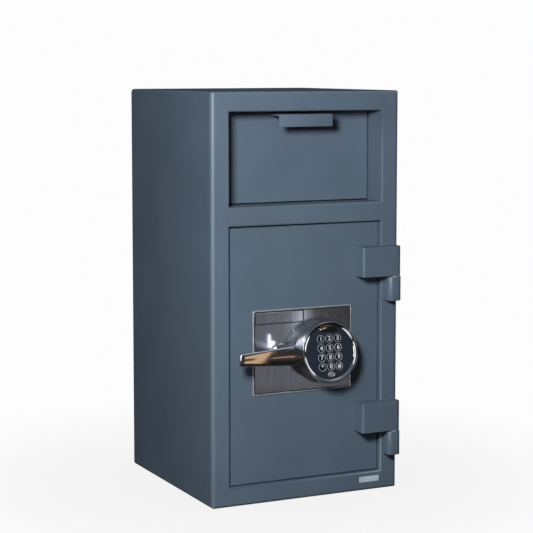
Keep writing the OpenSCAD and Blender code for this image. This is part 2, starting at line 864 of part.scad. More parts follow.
module handle_spindle() {
    flat_margin = 1.5;
    flat_half = handle_screw_r + flat_margin;
    color(steel_colour)
    difference() {
        rod_y(spindle_r, -handle_x, [lever_front + lever_thick / 2, crank_deep + crank_thick], handle_z);
        box([-handle_x - spindle_r, spindle_r - handle_x],
            [handle_screw_deep - flat_half, handle_screw_deep + flat_half],
            [handle_z - spindle_r - over, handle_z - spindle_r + spindle_flat]);
    }
}

module handle_rose() {
    color(chrome_colour)
    difference() {
        translate([-handle_x, front_y + housing_seat, handle_z]) rotate([90, 0, 0]) {
            cylinder(r = rose_r, h = rose_thick - rose_bevel);
            translate([0, 0, rose_thick - rose_bevel])
                cylinder(r1 = rose_r, r2 = rose_bore + rose_lip, h = rose_bevel);
        }
        rod_y(rose_bore, -handle_x, [housing_seat - rose_thick - over, housing_seat + over], handle_z);
    }
}

// boltwork behind the door

module bolt_crank() {
    color(steel_colour) {
        difference() {
            rod_y(crank_r, -handle_x, [crank_deep, crank_deep + crank_thick], handle_z);
            rod_y(spindle_r, -handle_x, [crank_deep - over, crank_deep + crank_thick + over], handle_z);
        }
        rod_y(crank_pin_r, -handle_x + bolt_throw / 2,
            [crank_deep + crank_thick, arm_deep + bar_thick + crank_pin_end], handle_z + bolt_throw / 2);
    }
}

module bolt_bar() {
    slot_half = crank_pin_r + crank_air;
    slot_x = -handle_x + bolt_throw / 2;
    slot_y = [arm_deep - over, arm_deep + bar_thick + over];
    low = handle_z + bolt_throw / 2;
    high = handle_z + crank_arm;
    color(steel_colour)
    difference() {
        union() {
            box([bolt_end_x, bolt_end_x + bar_thick],
                [bolt_deep - bar_flange / 2, bolt_deep + bar_flange / 2],
                [bolt_heights[0] - bar_end_margin, bolt_heights[2] + bar_end_margin]);
            box([bolt_end_x + bar_thick, arm_right], [arm_deep, arm_deep + bar_thick], [arm_low, arm_high]);
        }
        for (z = bolt_heights)
            rod_x(screw_r, [bolt_end_x - over, bolt_end_x + bar_thick + over], bolt_deep, z);
        box([slot_x - slot_half, slot_x + slot_half], slot_y, [low, high]);
        for (z = [low, high]) rod_y(slot_half, slot_x, slot_y, z);
    }
}

module locking_bolts() {
    color(chrome_colour)
    for (z = bolt_heights) difference() {
        union() {
            rod_x(bolt_r, [bolt_tip_x + bolt_tip_chamfer, bolt_end_x], bolt_deep, z);
            translate([bolt_tip_x, front_y + bolt_deep, z]) rotate([0, 90, 0])
                cylinder(r1 = bolt_r - bolt_tip_chamfer, r2 = bolt_r, h = bolt_tip_chamfer);
        }
        rod_x(screw_r, [bolt_end_x - screw_depth, bolt_end_x + over], bolt_deep, z);
    }
}

module bolt_screws() {
    color(steel_colour)
    for (z = bolt_heights) {
        rod_x(screw_r, [bolt_end_x - screw_depth, bolt_end_x + bar_thick], bolt_deep, z);
        rod_x(screw_r + screw_head_rim, [bolt_end_x + bar_thick, bolt_end_x + bar_thick + screw_head],
            bolt_deep, z);
    }
}

// tipping drawer

module hopper_panel() {
    color(body_colour)
    box([panel_gap - opening_x, opening_x - panel_gap], [drawer_inset, drawer_inset + panel_thick],
        [pivot_z + panel_foot, pivot_z + panel_head]);
}

module hopper_tray() {
    down = [-tray_thick * sin(tray_slope), -tray_thick * cos(tray_slope)];
    under_heel = [tray_heel[0], tray_heel[1] - tray_thick / cos(tray_slope)];
    color(body_colour)
    slab_x([-side_inner_x, side_inner_x], [tray_heel, under_heel, tray_end + down, tray_end]);
}

module hopper_sides() {
    steps = 24;
    lap = 1;
    first = asin(panel_back / hopper_r);
    last = tray_angle + lap;
    stop_at = about_pivot(stop_arc_r, stop_angle);
    rim = [for (i = [0:steps]) about_pivot(hopper_r, last + (first - last) * i / steps)];
    color(body_colour)
    both_sides() difference() {
        slab_x([side_inner_x, side_outer_x], concat([pivot_point(panel_back, panel_foot)], rim));
        rod_x(hopper_pin_r, [side_inner_x - over, side_outer_x + over], pivot_deep, pivot_z);
        rod_x(stop_pin_r, [side_inner_x - over, side_outer_x + over], stop_at[0], stop_at[1]);
    }
}

module hopper_pull() {
    back = drawer_inset;
    low = pull_top - pull_height;
    under = pull_top - pull_thick;
    behind = pull_inset + pull_thick;
    color(body_colour)
    intersection() {
        slab_x([-pull_width / 2, pull_width / 2], [[pull_inset, low], [behind, low],
            [behind, under], [back, under], [back, pull_top], [pull_inset, pull_top]]);
        slab_y([0, back + over], round_box(-pull_width / 2, low, pull_width / 2, pull_top,
            [pull_corner_r, pull_corner_r, 1, 1]));
    }
}

module hopper_pins() {
    head = 1.5;
    color(steel_colour)
    both_sides() {
        rod_x(pin_head_r, [side_inner_x - head, side_inner_x], pivot_deep, pivot_z);
        rod_x(hopper_pin_r, [side_inner_x, pin_end_x], pivot_deep, pivot_z);
    }
}

module hopper_clips() {
    clip = 1;
    color(steel_colour)
    both_sides() difference() {
        rod_x(hopper_pin_r + clip_rim, [pin_end_x - 2 * clip, pin_end_x - clip], pivot_deep, pivot_z);
        rod_x(hopper_pin_r, [pin_end_x - 3 * clip, pin_end_x], pivot_deep, pivot_z);
    }
}

module hopper_stop_pins() {
    tail = 1;
    at = about_pivot(stop_arc_r, stop_angle);
    color(steel_colour)
    both_sides() rod_x(stop_pin_r, [side_inner_x, opening_x + sleeve_thick + tail], at[0], at[1]);
}

body_shell();
back_plate();
door_jamb();
drawer_surround();
anti_fish_baffle();
hopper_bushes();
hinge_knuckle_upper();
hinge_knuckle_lower();
hinge_pins();
hinge_washers();
blank_label();
door_plate();
door_cover();
bolt_frame();
hinge_block_upper();
hinge_block_lower();
fixed_bolts();
hard_plate();
lock_plate();
handle_rose();
spindle_bush();
lock_case();
lock_screws();
cover_screws();
keypad_housing();
keypad_ring();
keypad_face();
status_visor();
oval_inlay();
keypad_board();
battery();
keypad_cable();
handle_lever();
handle_spindle();
bolt_crank();
handle_screw();
bolt_bar();
locking_bolts();
bolt_screws();
lock_bolt();
hopper_panel();
hopper_tray();
hopper_sides();
hopper_pull();
hopper_pins();
hopper_clips();
hopper_stop_pins();
key_button(0, 0);  // key_1
key_button(1, 0);  // key_2
key_button(2, 0);  // key_3
key_button(0, 1);  // key_4
key_button(1, 1);  // key_5
key_button(2, 1);  // key_6
key_button(0, 2);  // key_7
key_button(1, 2);  // key_8
key_button(2, 2);  // key_9
key_button(0, 3);  // key_left
key_button(1, 3);  // key_0
key_button(2, 3);  // key_right
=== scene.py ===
# The looks of a free-standing deposit safe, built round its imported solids
# In the solids' own frame: the front faces -Y and +Z is up. Shapes are written in millimetres and
# turned into metres as they are made; the camera, the lights and the floor are in metres.
import json
import math

import bmesh
import bpy
from mathutils import Matrix, Vector

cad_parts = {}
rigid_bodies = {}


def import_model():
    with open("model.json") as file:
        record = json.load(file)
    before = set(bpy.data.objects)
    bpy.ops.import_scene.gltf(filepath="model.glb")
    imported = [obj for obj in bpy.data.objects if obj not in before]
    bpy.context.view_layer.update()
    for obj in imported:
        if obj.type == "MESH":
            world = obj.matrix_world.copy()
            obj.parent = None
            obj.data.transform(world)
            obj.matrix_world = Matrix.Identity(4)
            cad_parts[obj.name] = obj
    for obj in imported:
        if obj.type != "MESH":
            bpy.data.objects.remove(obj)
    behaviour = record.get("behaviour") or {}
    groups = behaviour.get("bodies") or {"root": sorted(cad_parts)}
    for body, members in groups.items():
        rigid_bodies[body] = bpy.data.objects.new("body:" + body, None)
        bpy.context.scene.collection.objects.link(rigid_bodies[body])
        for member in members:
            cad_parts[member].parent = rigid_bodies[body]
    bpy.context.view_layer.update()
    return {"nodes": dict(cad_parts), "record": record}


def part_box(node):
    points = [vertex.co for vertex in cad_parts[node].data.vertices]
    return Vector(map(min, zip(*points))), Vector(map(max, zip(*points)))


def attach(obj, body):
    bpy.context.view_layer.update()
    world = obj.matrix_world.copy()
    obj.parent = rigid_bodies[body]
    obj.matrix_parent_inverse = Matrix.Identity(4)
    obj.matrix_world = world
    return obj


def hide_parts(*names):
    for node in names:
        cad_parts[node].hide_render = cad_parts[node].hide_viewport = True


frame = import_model()

MM = 0.001
nodes = frame["nodes"]
scene = bpy.context.scene
BODY_OF = {n: body for body, members in frame["record"]["behaviour"]["bodies"].items() for n in members}
SLOT_OF = {row["node"]: row["material_slot"] for row in frame["record"]["subparts"]}

# sizes shared with the solids, in millimetres
FRONT_Y = -175.0
FRAME_HALF_WIDTH, FRAME_LOW, FRAME_HIGH = 143.5, 31.0, 654.0
HINGE_X, HINGE_Y, PIN_R = 161.5, -185.6, 5.0
HANDLE_X, HANDLE_Z = -45.0, 252.0
LEVER_REACH, LEVER_THICK, LEVER_LENGTH = 35.0, 9.0, 96.0
LEVER_HUB_R, LEVER_TIP_HEIGHT = 16.3, 20.5
PLATE_LEFT, PLATE_RIGHT, PLATE_BOTTOM, PLATE_TOP = -96.5, 89.0, 181.0, 324.0
PLATE_FRONT, DOOR_FACE, RIM_HEIGHT = 8.0, 10.0, 0.6
KEYPAD_AT, KEYPAD_TILT = (31.0, FRONT_Y - 25.0, 250.5), 9.0
KEY_PITCH_X, KEY_PITCH_Z, KEY_R = 15.8, 15.6, 6.0
RING_R, FACE_R = 51.5, 46.0


# shaders

class Finish:
    """A material of one surface, with the few node calls that the surfaces share"""

    def __init__(self, name, colour, roughness, metallic=0.0, **sockets):
        self.material = bpy.data.materials.new(name)
        self.material.use_nodes = True
        self.tree = self.material.node_tree
        self.shader = self.tree.nodes["Principled BSDF"]
        self.shader.inputs["Base Color"].default_value = (*colour, 1.0)
        self.shader.inputs["Roughness"].default_value = roughness
        self.shader.inputs["Metallic"].default_value = metallic
        for socket, value in sockets.items():
            self.shader.inputs[socket.replace("_", " ")].default_value = value
        self.place = self.tree.nodes.new("ShaderNodeTexCoord").outputs["Object"]
        self.height = None

    def noise(self, scale, detail=2.0, stretch=(1.0, 1.0, 1.0)):
        """Cells of 1/scale metres, drawn out along an axis whose stretch is small"""
        mapping = self.tree.nodes.new("ShaderNodeMapping")
        mapping.inputs["Scale"].default_value = stretch
        self.tree.links.new(self.place, mapping.inputs["Vector"])
        noise = self.tree.nodes.new("ShaderNodeTexNoise")
        noise.inputs["Scale"].default_value = scale
        noise.inputs["Detail"].default_value = detail
        self.tree.links.new(mapping.outputs["Vector"], noise.inputs["Vector"])
        return noise.outputs["Fac"]

    def ramp(self, source, low, high, start=0.35, end=0.65):
        """source, turned into a value from low to high"""
        span = self.tree.nodes.new("ShaderNodeMapRange")
        span.inputs["From Min"].default_value = start
        span.inputs["From Max"].default_value = end
        span.inputs["To Min"].default_value = low
        span.inputs["To Max"].default_value = high
        self.tree.links.new(source, span.inputs["Value"])
        return span.outputs["Result"]

    def tinted(self, source, dark, light):
        """Colour that wanders between two tones"""
        mix = self.tree.nodes.new("ShaderNodeMix")
        mix.data_type = "RGBA"
        mix.inputs["A"].default_value = (*dark, 1.0)
        mix.inputs["B"].default_value = (*light, 1.0)
        self.tree.links.new(self.ramp(source, 0.0, 1.0), mix.inputs["Factor"])
        self.tree.links.new(mix.outputs["Result"], self.shader.inputs["Base Color"])

    def worn(self, source, low, high):
        """Roughness that wanders between two values"""
        self.tree.links.new(self.ramp(source, low, high), self.shader.inputs["Roughness"])

    def relief(self, source, depth_mm):
        """Fine bumps, laid over the ones that the surface already has"""
        bump = self.tree.nodes.new("ShaderNodeBump")
        bump.inputs["Strength"].default_value = 1.0
        bump.inputs["Distance"].default_value = depth_mm * MM
        self.tree.links.new(source, bump.inputs["Height"])
        if self.height:
            self.tree.links.new(self.height, bump.inputs["Normal"])
        self.height = bump.outputs["Normal"]
        self.tree.links.new(self.height, self.shader.inputs["Normal"])


def shade(colour, factor):
    return tuple(c * factor for c in colour)


PAINT = (0.098, 0.138, 0.186)


def slate_paint(name, colour, peel_mm, gloss=0.42):
    """Sprayed enamel with orange peel: soft mottling, fine grain and a slightly uneven gloss"""
    paint = Finish(name, colour, gloss, Specular_IOR_Level=0.45)
    paint.tinted(paint.noise(9.0, 3.0), shade(colour, 0.95), shade(colour, 1.05))
    paint.worn(paint.noise(160.0), gloss - 0.05, gloss + 0.06)
    paint.relief(paint.noise(210.0, 1.0), peel_mm * 1.2)
    paint.relief(paint.noise(330.0, 2.0), peel_mm)
    paint.relief(paint.noise(1100.0, 2.0), peel_mm * 0.35)
    return paint.material


def plated_steel(name, colour, roughness, grain=(1.0, 1.0, 1.0)):
    """Plated, drawn or turned metal; grain draws its fine marks out along one axis"""
    steel = Finish(name, colour, roughness, 1.0)
    steel.tinted(steel.noise(60.0, 3.0), shade(colour, 0.86), shade(colour, 1.05))
    steel.worn(steel.noise(900.0, 2.0, grain), roughness - 0.06, roughness + 0.08)
    steel.relief(steel.noise(1500.0, 2.0, grain), 0.02)
    return steel.material


def brushed_sheet():
    """Stainless sheet, brushed upright: faint streaks and a soft sheen"""
    colour = (0.56, 0.58, 0.65)
    sheet = Finish("brushed_stainless", colour, 0.17, 0.96)
    sheet.tinted(sheet.noise(300.0, 3.0, (1.0, 1.0, 0.02)), shade(colour, 0.88), shade(colour, 1.06))
    sheet.worn(sheet.noise(500.0, 2.0, (1.0, 1.0, 0.03)), 0.15, 0.20)
    sheet.relief(sheet.noise(420.0, 2.0, (1.0, 1.0, 0.02)), 0.002)
    return sheet.material


def rim_with_painted_sheen():
    """The sheet's pressed rim, duller and paler than the flat: a painted sheen that keeps it pale from
    every side
    """
    colour = (0.40, 0.415, 0.44)
    rim = Finish("rim_painted_sheen", colour, 0.34, 0.35)
    rim.tinted(rim.noise(220.0, 3.0), shade(colour, 0.72), shade(colour, 1.12))
    rim.relief(rim.noise(500.0, 2.0), 0.01)
    return rim.material


def polished_chrome(name="polished_chrome", colour=(0.80, 0.80, 0.82), roughness=0.06):
    """Bright metal with a faint waviness and uneven polish"""
    chrome = Finish(name, colour, roughness, 1.0)
    chrome.worn(chrome.noise(45.0, 3.0), roughness * 0.7, roughness * 1.5)
    chrome.relief(chrome.noise(60.0, 1.0), 0.004)
    return chrome.material


def glossy_plastic(name, colour, roughness=0.09, coat=0.6):
    """Moulded plastic under a clear coat, a little uneven"""
    plastic = Finish(name, colour, roughness, Coat_Weight=coat, Coat_Roughness=0.04)
    plastic.worn(plastic.noise(70.0, 2.0), roughness * 0.8, roughness * 1.5)
    plastic.relief(plastic.noise(140.0, 1.0), 0.006)
    return plastic.material


def matte(name, colour, roughness, grain_mm=0.03):
    """Paper, print, rubber and sleeves: a soft mottling and a fine grain"""
    stuff = Finish(name, colour, roughness)
    stuff.tinted(stuff.noise(50.0, 3.0), shade(colour, 0.88), shade(colour, 1.10))
    stuff.relief(stuff.noise(700.0, 2.0), grain_mm)
    return stuff.material


def printed_board():
    """Green solder mask with a faint woven relief"""
    board = Finish("printed_board", (0.03, 0.16, 0.08), 0.35)
    board.tinted(board.noise(380.0, 1.0, (1.0, 1.0, 0.15)), (0.025, 0.13, 0.06), (0.04, 0.20, 0.10))
    board.relief(board.noise(900.0, 1.0), 0.02)
    return board.material


finish = {
    "body_paint": slate_paint("slate_paint", shade(PAINT, 1.02), 0.10),
    "door_paint": slate_paint("slate_paint_door", PAINT, 0.10),
    "panel_paint": slate_paint("slate_paint_drawer", shade(PAINT, 1.02), 0.26),
    "inner_paint": slate_paint("slate_paint_inside", shade(PAINT, 0.92), 0.06, 0.5),
    "zinc_steel": plated_steel("zinc_plated_steel", (0.62, 0.63, 0.65), 0.30),
    "hard_steel": plated_steel("hardened_steel", (0.36, 0.37, 0.39), 0.40, (1.0, 1.0, 0.05)),
    "stainless": brushed_sheet(),
    # the lock plate's rim: a painted sheen
    "rim": rim_with_painted_sheen(),
    "chrome": polished_chrome(),
    "keypad_chrome": polished_chrome("keypad_chrome", (0.56, 0.56, 0.58), 0.09),
    "housing_metal": polished_chrome("satin_housing", (0.58, 0.58, 0.60), 0.20),
    "brass": plated_steel("turned_brass", (0.74, 0.56, 0.26), 0.26, (1.0, 1.0, 0.1)),
    "washer_brass": plated_steel("pale_washer_brass", (0.90, 0.84, 0.55), 0.60),
    "bronze": plated_steel("sintered_bronze", (0.58, 0.38, 0.20), 0.45),
    "die_cast": plated_steel("die_cast_zinc", (0.55, 0.56, 0.58), 0.42),
    "gloss_black": glossy_plastic("gloss_black_face", (0.021, 0.027, 0.042)),
    "key_plastic": glossy_plastic("black_key_cap", (0.012, 0.016, 0.022), 0.14, 0.3),
    "visor_lens": glossy_plastic("dark_visor_lens", (0.008, 0.009, 0.011), 0.05, 1.0),
    "inlay": polished_chrome("bare_inlay", (0.86, 0.87, 0.88), 0.40),
    "board": printed_board(),
    "battery_case": matte("battery_sleeve", (0.04, 0.04, 0.05), 0.4),
    "cable_sheath": matte("cable_sheath", (0.02, 0.02, 0.02), 0.55),
    "label": matte("blank_paper_label", (0.51, 0.61, 0.685), 0.55, 0.02),
    # near-black painted shade for the grooves of the lock plate
    "groove_painted_shade": matte("painted_groove_shade", (0.022, 0.020, 0.021), 0.4, 0.005),
    "key_print": matte("pale_key_print", (0.62, 0.65, 0.68), 0.45, 0.01),
}


# mesh helpers

ROUNDED_FROM = math.radians(32)
SHADED_SHARP_FROM = math.radians(38)
SAME_PLACE = 2e-6


def piece_from(name, bm, *materials, merge=1e-6):
    """A finished object at the origin from a bmesh in metres, its faces turned outwards"""
    bmesh.ops.remove_doubles(bm, verts=bm.verts, dist=merge)
    bmesh.ops.recalc_face_normals(bm, faces=bm.faces)
    mesh = bpy.data.meshes.new(name)
    bm.to_mesh(mesh)
    bm.free()
    for material in materials:
        mesh.materials.append(material)
    made = bpy.data.objects.new(name, mesh)
    scene.collection.objects.link(made)
    smooth(mesh)
    return made


def smooth(mesh):
    mesh.polygons.foreach_set("use_smooth", [True] * len(mesh.polygons))
    mesh.set_sharp_from_angle(angle=SHADED_SHARP_FROM)


def settle(made):
    """Works the object's modifiers into a plain mesh"""
    graph = bpy.context.evaluated_depsgraph_get()
    graph.update()
    mesh = bpy.data.meshes.new_from_object(made.evaluated_get(graph), depsgraph=graph)
    made.modifiers.clear()
    made.data = mesh


def hung(made, node_names):
    """Puts a finished piece in the place of the solids that it stands for"""
    names = [node_names] if isinstance(node_names, str) else list(node_names)
    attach(made, BODY_OF[names[0]])
    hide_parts(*names)


def drawn_in(bm, node, by_left, by_right):
    """Moves the left and right ends of a leaf inwards, so that the line beside it shows dark"""
    left, right = (corner.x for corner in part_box(node))
    at_end = 0.05 * MM
    for vert in bm.verts:
        if abs(vert.co.x - left) < at_end:
            vert.co.x += by_left * MM
        elif abs(vert.co.x - right) < at_end:
            vert.co.x -= by_right * MM


def softened(node, rounding, segments=3, material=None, stand_back=(0.0, 0.0)):
    """A copy of a node's solid with its sharp edges rounded. rounding is a width in millimetres, or
    a function that gives it from an edge's middle and direction, also in millimetres"""
    bm = bmesh.new()
    bm.from_mesh(nodes[node].data)
    drawn_in(bm, node, *stand_back)
    bmesh.ops.remove_doubles(bm, verts=bm.verts, dist=SAME_PLACE)
    weights = bm.edges.layers.float.new("bevel_weight_edge")
    wanted = {}
    for edge in bm.edges:
        if len(edge.link_faces) == 2 and edge.calc_face_angle(0.0) > ROUNDED_FROM:
            a, b = (v.co / MM for v in edge.verts)
            by_place = callable(rounding)
            wanted[edge] = rounding((a + b) / 2, (b - a).normalized()) if by_place else rounding
    most = max(wanted.values(), default=0.0)
    for edge, width in wanted.items():
        edge[weights] = width / most if most else 0.0
    made = piece_from(node + "_finished", bm, material or finish[SLOT_OF[node]])
    bevel = made.modifiers.new("rounding", "BEVEL")
    bevel.limit_method = "WEIGHT"
    bevel.width = most * MM
    bevel.segments = segments
    bevel.miter_outer = "MITER_ARC"
    bevel.use_clamp_overlap = False
    settle(made)
    smooth(made.data)
    weighted = made.modifiers.new("even_shading", "WEIGHTED_NORMAL")
    weighted.keep_sharp = True
    settle(made)
    hung(made, node)


def joined(bm, rings, closed=False):
    """Closed rings of points in millimetres, joined one after the other and, if closed, the last to
    the first"""
    made = [[bm.verts.new(Vector(p) * MM) for p in ring] for ring in rings]
    for one, other in zip(made, made[1:] + (made[:1] if closed else [])):
        for i in range(len(one)):
            j = (i + 1) % len(one)
            bm.faces.new([one[i], one[j], other[j], other[i]])
    return made


def loft(bm, rings):
    """Closed rings of points in millimetres, joined one after the other, with both ends filled"""
    made = joined(bm, rings)
    bm.faces.new(made[0])
    bm.faces.new(list(reversed(made[-1])))
    return made


def turns(steps):
    """The angles of a full turn, in radians"""
    return [2 * math.pi * i / steps for i in range(steps)]


def circle(place, r, z, steps):
    """A ring of points about place's own Z, at height z"""
    return [place @ Vector((r * math.cos(t), r * math.sin(t), z)) for t in turns(steps)]


def lathe(bm, profile, place, steps, closed=False):
    """A profile of (radius, height) points in millimetres, turned about place's own Z"""
    return joined(bm, [circle(place, r, z, steps) for r, z in profile], closed)


def arc(cx, cy, r, a0, a1, steps):
    """Points on an arc between two angles in degrees, both ends included"""
    angles = [math.radians(a0 + (a1 - a0) * i / steps) for i in range(steps + 1)]
    return [(cx + r * math.cos(a), cy + r * math.sin(a)) for a in angles]


def round_box(x0, y0, x1, y1, r, steps=6):
    """The outline of a rectangle with round corners"""
    return (arc(x0 + r, y0 + r, r, 180, 270, steps) + arc(x1 - r, y0 + r, r, 270, 360, steps)
            + arc(x1 - r, y1 - r, r, 0, 90, steps) + arc(x0 + r, y1 - r, r, 90, 180, steps))


def front_ring(outline, deep):
    """An outline of (x, z) at a depth behind the body's front face"""
    return [(x, FRONT_Y + deep, z) for x, z in outline]


def keypad_place():
    """The keypad's own frame: its Z comes out of the face, tilted upwards"""
    return Matrix.Translation(KEYPAD_AT) @ Matrix.Rotation(math.radians(90 - KEYPAD_TILT), 4, "X")


# body, door and drawer

def frame_edges(middle, along):
    """The body's sheet is folded round the two openings, so only those front edges are rounded"""
    bend, slack = 3.2, 0.6
    in_front = abs(middle.y - FRONT_Y) < slack
    inside = abs(middle.x) < FRAME_HALF_WIDTH and FRAME_LOW < middle.z < FRAME_HIGH
    return bend if in_front and inside else 0.0


def hinge_edges(middle, along):
    """The upright edges are a little sharper than the level ones"""
    upright = abs(along.z) >= 0.5
    return 0.9 if upright else 1.1


def knuckle(node):
    """The fixed half of a hinge: a bar with a well rounded front, bored for its pin from above"""
    low, high = (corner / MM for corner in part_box(node))
    turn = turns(96)
    front_r, back_r, farthest, halvings = 8.5, 0.8, 40.0, 30

    def outline(inset, z):
        """The bar's outline, met by rays from the pin's axis"""
        x0, x1, y0, y1 = low.x + inset, high.x - inset, low.y + inset, high.y
        ring = []
        for t in turn:
            ray = Vector((math.cos(t), math.sin(t)))
            near_end, far_end = 0.0, farthest
            for _ in range(halvings):
                reach = (near_end + far_end) / 2
                x, y = HINGE_X + ray.x * reach, HINGE_Y + ray.y * reach
                r = (front_r if y < HINGE_Y else back_r) - inset * 0.5
                dx, dy = max(x0 + r - x, x - x1 + r), max(y0 + r - y, y - y1 + r)
                inside = math.hypot(max(dx, 0), max(dy, 0)) < r and min(dx, dy) < r
                near_end, far_end = (reach, far_end) if inside else (near_end, reach)
            ring.append((HINGE_X + ray.x * near_end, HINGE_Y + ray.y * near_end, z))
        return ring

    def bore(r, z):
        return [(HINGE_X + r * math.cos(t), HINGE_Y + r * math.sin(t), z) for t in turn]

    z0, z1 = low.z, high.z
    floor_of_bore = z0 + 6.0
    bm = bmesh.new()
    loft(bm, [outline(0.8, z0), outline(0.25, z0 + 0.2), outline(0.0, z0 + 0.8), outline(0.0, z1 - 0.8),
              outline(0.25, z1 - 0.2), outline(0.8, z1), bore(PIN_R + 0.4, z1), bore(PIN_R, z1 - 0.4),
              bore(PIN_R, floor_of_bore)])
    hung(piece_from(node + "_finished", bm, finish["body_paint"]), node)


def drawer_pull():
    """A strip of sheet, bent down at the front, with its two lower corners rounded"""
    low, high = (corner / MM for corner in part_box("hopper_pull"))
    thick, bend, corner, edge_r = 3.0, 3.4, 2.4, 0.6
    bend_steps, corner_steps = 8, 6
    half = (high.x - low.x) / 2
    mid = bend - thick / 2
    cy, cz = low.y + bend, high.z - bend
    # the middle line of the strip, each point with the way out of its front face
    path = [(high.y, high.z - thick / 2, 0.0, 1.0)]
    path += [(cy + mid * math.cos(t), cz + mid * math.sin(t), math.cos(t), math.sin(t))
             for t in (math.radians(90 + 90 * i / bend_steps) for i in range(bend_steps + 1))]
    foot = [corner * (1 - math.cos(math.radians(90 * i / corner_steps)))
            for i in range(corner_steps + 1)]
    path += [(low.y + thick / 2, low.z + drop, -1.0, 0.0) for drop in reversed(foot)]
    rings = []
    for y, z, ny, nz in path:
        short = 0.0
        if ny == -1.0 and z < low.z + corner:
            short = corner - math.sqrt(max(corner ** 2 - (corner - (z - low.z)) ** 2, 0.0))
        side = round_box(-half + short, -thick / 2, half - short, thick / 2, edge_r, 3)
        rings.append([(u, y + ny * v, z + nz * v) for u, v in side])
    bm = bmesh.new()
    loft(bm, rings)
    hung(piece_from("hopper_pull_finished", bm, finish["panel_paint"]), "hopper_pull")


def painted_pieces():
    """The enamelled sheets, each with its rounding in millimetres"""
    softened("body_shell", frame_edges, 5)
    softened("door_plate", 1.2, stand_back=(0.8, 0.0))
    softened("hopper_panel", 0.8, material=finish["panel_paint"], stand_back=(0.0, 0.5))
    drawer_pull()
    for node in ("hinge_block_upper", "hinge_block_lower"):
        softened(node, hinge_edges)
    for node in ("hinge_knuckle_upper", "hinge_knuckle_lower"):
        knuckle(node)
    for node in ("door_jamb", "door_cover", "bolt_frame"):
        softened(node, 0.4, 2)
    softened("hinge_washers", 0.2, 2, finish["washer_brass"])
    softened("blank_label", 0.1, 1)


# lock plate

def lock_plate():
    """A pressed sheet: a rounded rim with a painted sheen, painted shade in the groove inside it, and a
    plain raised strip with painted shade round its foot
    """
    bm = bmesh.new()
    # slot 1 holds the near-black painted shade, slot 2 the rim's painted sheen
    dark, pale = 1, 2

    def outline(inset, r):
        return round_box(PLATE_LEFT + inset, PLATE_BOTTOM + inset,
                         PLATE_RIGHT - inset, PLATE_TOP - inset, r)

    def strip_outline(inset, r):
        left, low, right, high = PLATE_LEFT + 5.0, 301.0, -3.0, PLATE_TOP - 4.6
        return round_box(left + inset, low + inset, right - inset, high - inset, r, 3)

    def band(made, first, last, slot):
        """Gives the faces between two rings the material in a slot"""
        inside = set(v for ring in made[first:last + 1] for v in ring)
        for face in set(f for v in inside for f in v.link_faces):
            if all(v in inside for v in face.verts):
                face.material_index = slot

    surface = PLATE_FRONT + RIM_HEIGHT
    # inset, corner radius and depth of each ring, from the door inwards to the flat
    steps = [(0.0, 4.0, DOOR_FACE), (0.0, 4.0, PLATE_FRONT + 0.9), (0.25, 3.8, PLATE_FRONT + 0.35),
             (0.8, 3.3, PLATE_FRONT), (1.4, 2.9, PLATE_FRONT + 0.02), (2.1, 2.5, PLATE_FRONT + 0.2),
             (2.4, 2.4, PLATE_FRONT + 0.6), (2.6, 2.3, surface + 0.35), (3.9, 1.7, surface + 0.35),
             (4.1, 1.6, surface), (5.0, 1.2, surface)]
    pressed = loft(bm, [front_ring(outline(inset, r), deep) for inset, r, deep in steps])
    # the groove inside the rim is painted near-black: painted shade
    band(pressed, 6, 9, dark)
    # the rim takes the paler, duller finish: a painted sheen
    band(pressed, 1, 5, pale)
    # inset and height above the flat of each ring of the strip
    strip_steps = [(-1.5, -0.4), (-1.5, 0.04), (0.0, 0.04), (0.25, 0.3), (0.8, 0.36), (1.3, 0.3),
                   (1.8, 0.3)]
    strip = loft(bm, [front_ring(strip_outline(inset, 2.4 - inset * 0.8), surface - high)
                      for inset, high in strip_steps])
    # a near-black ring round the strip's foot: painted shade
    band(strip, 1, 2, dark)
    made = piece_from("lock_plate_pressed", bm, finish["stainless"], finish["groove_painted_shade"], finish["rim"])
    hung(made, "lock_plate")


# lever

def lever_outline():
    """The lever seen from the front about its axis: a round hub that tapers to a blunt tip"""
    tip_r, half = 4.0, LEVER_TIP_HEIGHT / 2
    hub_steps, tip_steps, side_steps = 18, 6, 12
    corner = Vector((-LEVER_LENGTH + tip_r, half - tip_r))
    # the straight side touches the hub's circle and the tip's corner
    tangent = math.degrees(math.atan2(corner.y, corner.x)
                           - math.acos((LEVER_HUB_R - tip_r) / corner.length))
    hub = arc(0, 0, LEVER_HUB_R, 0, tangent, hub_steps)
    tip = arc(corner.x, corner.y, tip_r, tangent, 180, tip_steps)
    side = [tuple(Vector(hub[-1]).lerp(Vector(tip[0]), i / side_steps)) for i in range(1, side_steps)]
    upper = hub + side + tip
    return upper + [(x, -z) for x, z in reversed(upper[1:])]


